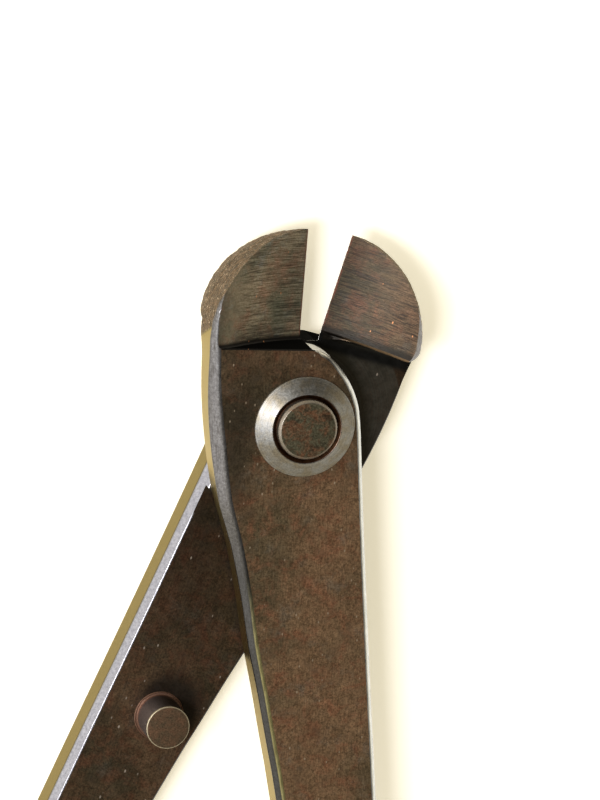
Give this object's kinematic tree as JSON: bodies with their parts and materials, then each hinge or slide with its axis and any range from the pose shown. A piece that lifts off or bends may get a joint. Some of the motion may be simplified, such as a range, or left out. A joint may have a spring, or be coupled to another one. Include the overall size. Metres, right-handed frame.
{
  "type": "bonsai wire cutter",
  "caption": "Hand wire cutter with a round head, two half-lapped forged arms on a riveted pivot with bevelled washers, long bowed handles and a stop pin.",
  "frame": {"origin": "on the pivot axis, at the end face of the back rivet head, which is what the tool lies on", "axes": "+Y towards the jaws along the line halfway between the arms, +Z along the pivot axis towards the front, +X towards the front arm's handle"},
  "size_m": [0.09, 0.2001, 0.0162],
  "materials": {
    "front_arm": "black oxide on forged and ground steel, satin, with worn bright edges",
    "back_arm": "black oxide on forged and ground steel, satin, with worn bright edges",
    "rivet": "mottled brown patina with a bright chamfer",
    "washer": "turned steel, thin oxide, satin",
    "stop_pin": "black oxide, satin"
  },
  "bodies": {
    "front_half": {"front_arm": "front_arm", "pivot_rivet": "rivet", "front_washer": "washer", "back_washer": "washer"},
    "back_half": {"back_arm": "back_arm", "stop_pin": "stop_pin"}
  },
  "joints": [
    {"name": "pivot", "type": "hinge", "parent": "front_half", "child": "back_half", "pos_m": [0, 0, 0.00815], "axis": [0, 0, 1], "range_deg": [-26, 13.9]}
  ]
}
